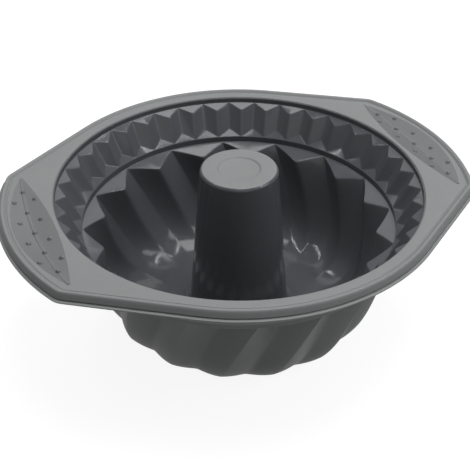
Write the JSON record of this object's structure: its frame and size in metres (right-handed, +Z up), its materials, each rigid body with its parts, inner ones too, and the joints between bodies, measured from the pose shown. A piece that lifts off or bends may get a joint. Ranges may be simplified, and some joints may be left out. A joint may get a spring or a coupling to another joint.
{
  "type": "silicone ring cake mould",
  "caption": "Flexible ring-cake baking mould: a bowl of swirling flutes under a crimped collar, a hollow centre tube, and a flat rim with winged, nubbed grip handles.",
  "frame": {"origin": "on the table under the middle of the tube, at the bottom centre of the bounding box", "axes": "+X along the two handles, +Y across them, +Z up out of the mould's mouth"},
  "size_m": [0.2918, 0.2508, 0.1065],
  "materials": {
    "satin_silicone": "satin moulded silicone, dark grey",
    "glossy_silicone": "polished moulded silicone, dark grey",
    "steel_wire": "drawn stainless wire"
  },
  "bodies": {
    "root": {"rim_flange": "satin_silicone", "rim_bead": "satin_silicone", "rim_wire": "steel_wire", "right_grip": "satin_silicone", "left_grip": "satin_silicone", "crimped_collar": "glossy_silicone", "flute_01": "glossy_silicone", "flute_02": "glossy_silicone", "flute_03": "glossy_silicone", "flute_04": "glossy_silicone", "flute_05": "glossy_silicone", "flute_06": "glossy_silicone", "flute_07": "glossy_silicone", "flute_08": "glossy_silicone", "flute_09": "glossy_silicone", "flute_10": "glossy_silicone", "flute_11": "glossy_silicone", "flute_12": "glossy_silicone", "flute_13": "glossy_silicone", "flute_14": "glossy_silicone", "flute_15": "glossy_silicone", "flute_16": "glossy_silicone", "foot_ring": "glossy_silicone", "centre_tube": "glossy_silicone", "tube_cap": "satin_silicone"}
  },
  "joints": []
}
